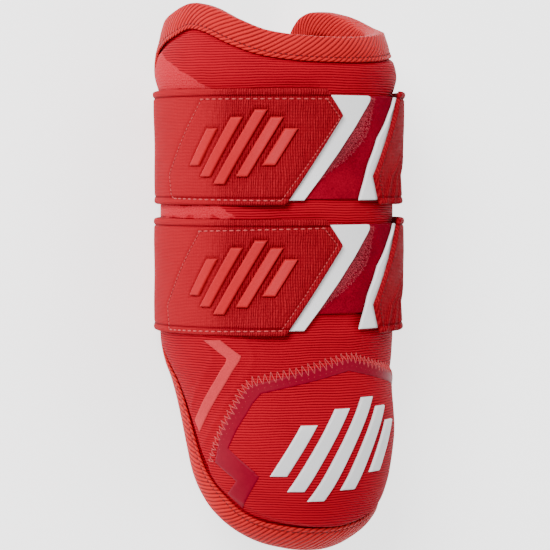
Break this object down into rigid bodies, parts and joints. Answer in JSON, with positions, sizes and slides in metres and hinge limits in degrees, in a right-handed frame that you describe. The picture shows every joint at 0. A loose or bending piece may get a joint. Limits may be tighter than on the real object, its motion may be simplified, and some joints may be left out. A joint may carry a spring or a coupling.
{
  "type": "baseball elbow guard",
  "caption": "Padded elbow and forearm guard with a sewn elbow cup, a taped edge and elastic straps with hook tabs, open at the back.",
  "frame": {"origin": "centre of the guard's box at the height of the straps' flat backs, on which it rests", "axes": "+Z out of the front of the pad, +Y up the arm away from the elbow cup, +X across the arm"},
  "size_m": [0.1132, 0.24, 0.0981],
  "materials": {
    "ribbed_cloth": "red knitted cloth with fine cross ribs",
    "lining": "near-black soft lining",
    "tape": "coral twill binding tape with slanted ribs",
    "elastic": "red woven elastic",
    "white_rubber": "satin white moulded rubber",
    "loop_cloth": "dark red loop pile",
    "crimson_film": "thin matt crimson film",
    "coral_film": "thin matt coral film",
    "coral_rubber": "soft coral moulded rubber",
    "grey_rubber": "satin grey-white moulded rubber"
  },
  "bodies": {
    "root": {"main_pad": "ribbed_cloth", "elbow_cup": "ribbed_cloth", "lining": "lining", "edge_binding": "tape", "cup_film": "crimson_film", "pad_film": "coral_film", "upper_strap": "elastic", "upper_strap_tab": "white_rubber", "upper_anchor_tab": "white_rubber", "upper_loop_patch": "loop_cloth", "lower_strap": "elastic", "lower_strap_tab": "white_rubber", "lower_anchor_tab": "white_rubber", "lower_loop_patch": "loop_cloth", "upper_mark_1": "coral_rubber", "upper_mark_2": "coral_rubber", "upper_mark_3": "coral_rubber", "upper_mark_4": "coral_rubber", "upper_mark_5": "coral_rubber", "lower_mark_1": "coral_rubber", "lower_mark_2": "coral_rubber", "lower_mark_3": "coral_rubber", "lower_mark_4": "coral_rubber", "lower_mark_5": "coral_rubber", "cup_mark_1": "grey_rubber", "cup_mark_2": "grey_rubber", "cup_mark_3": "grey_rubber", "cup_mark_4": "grey_rubber", "cup_mark_5": "grey_rubber"}
  },
  "joints": []
}
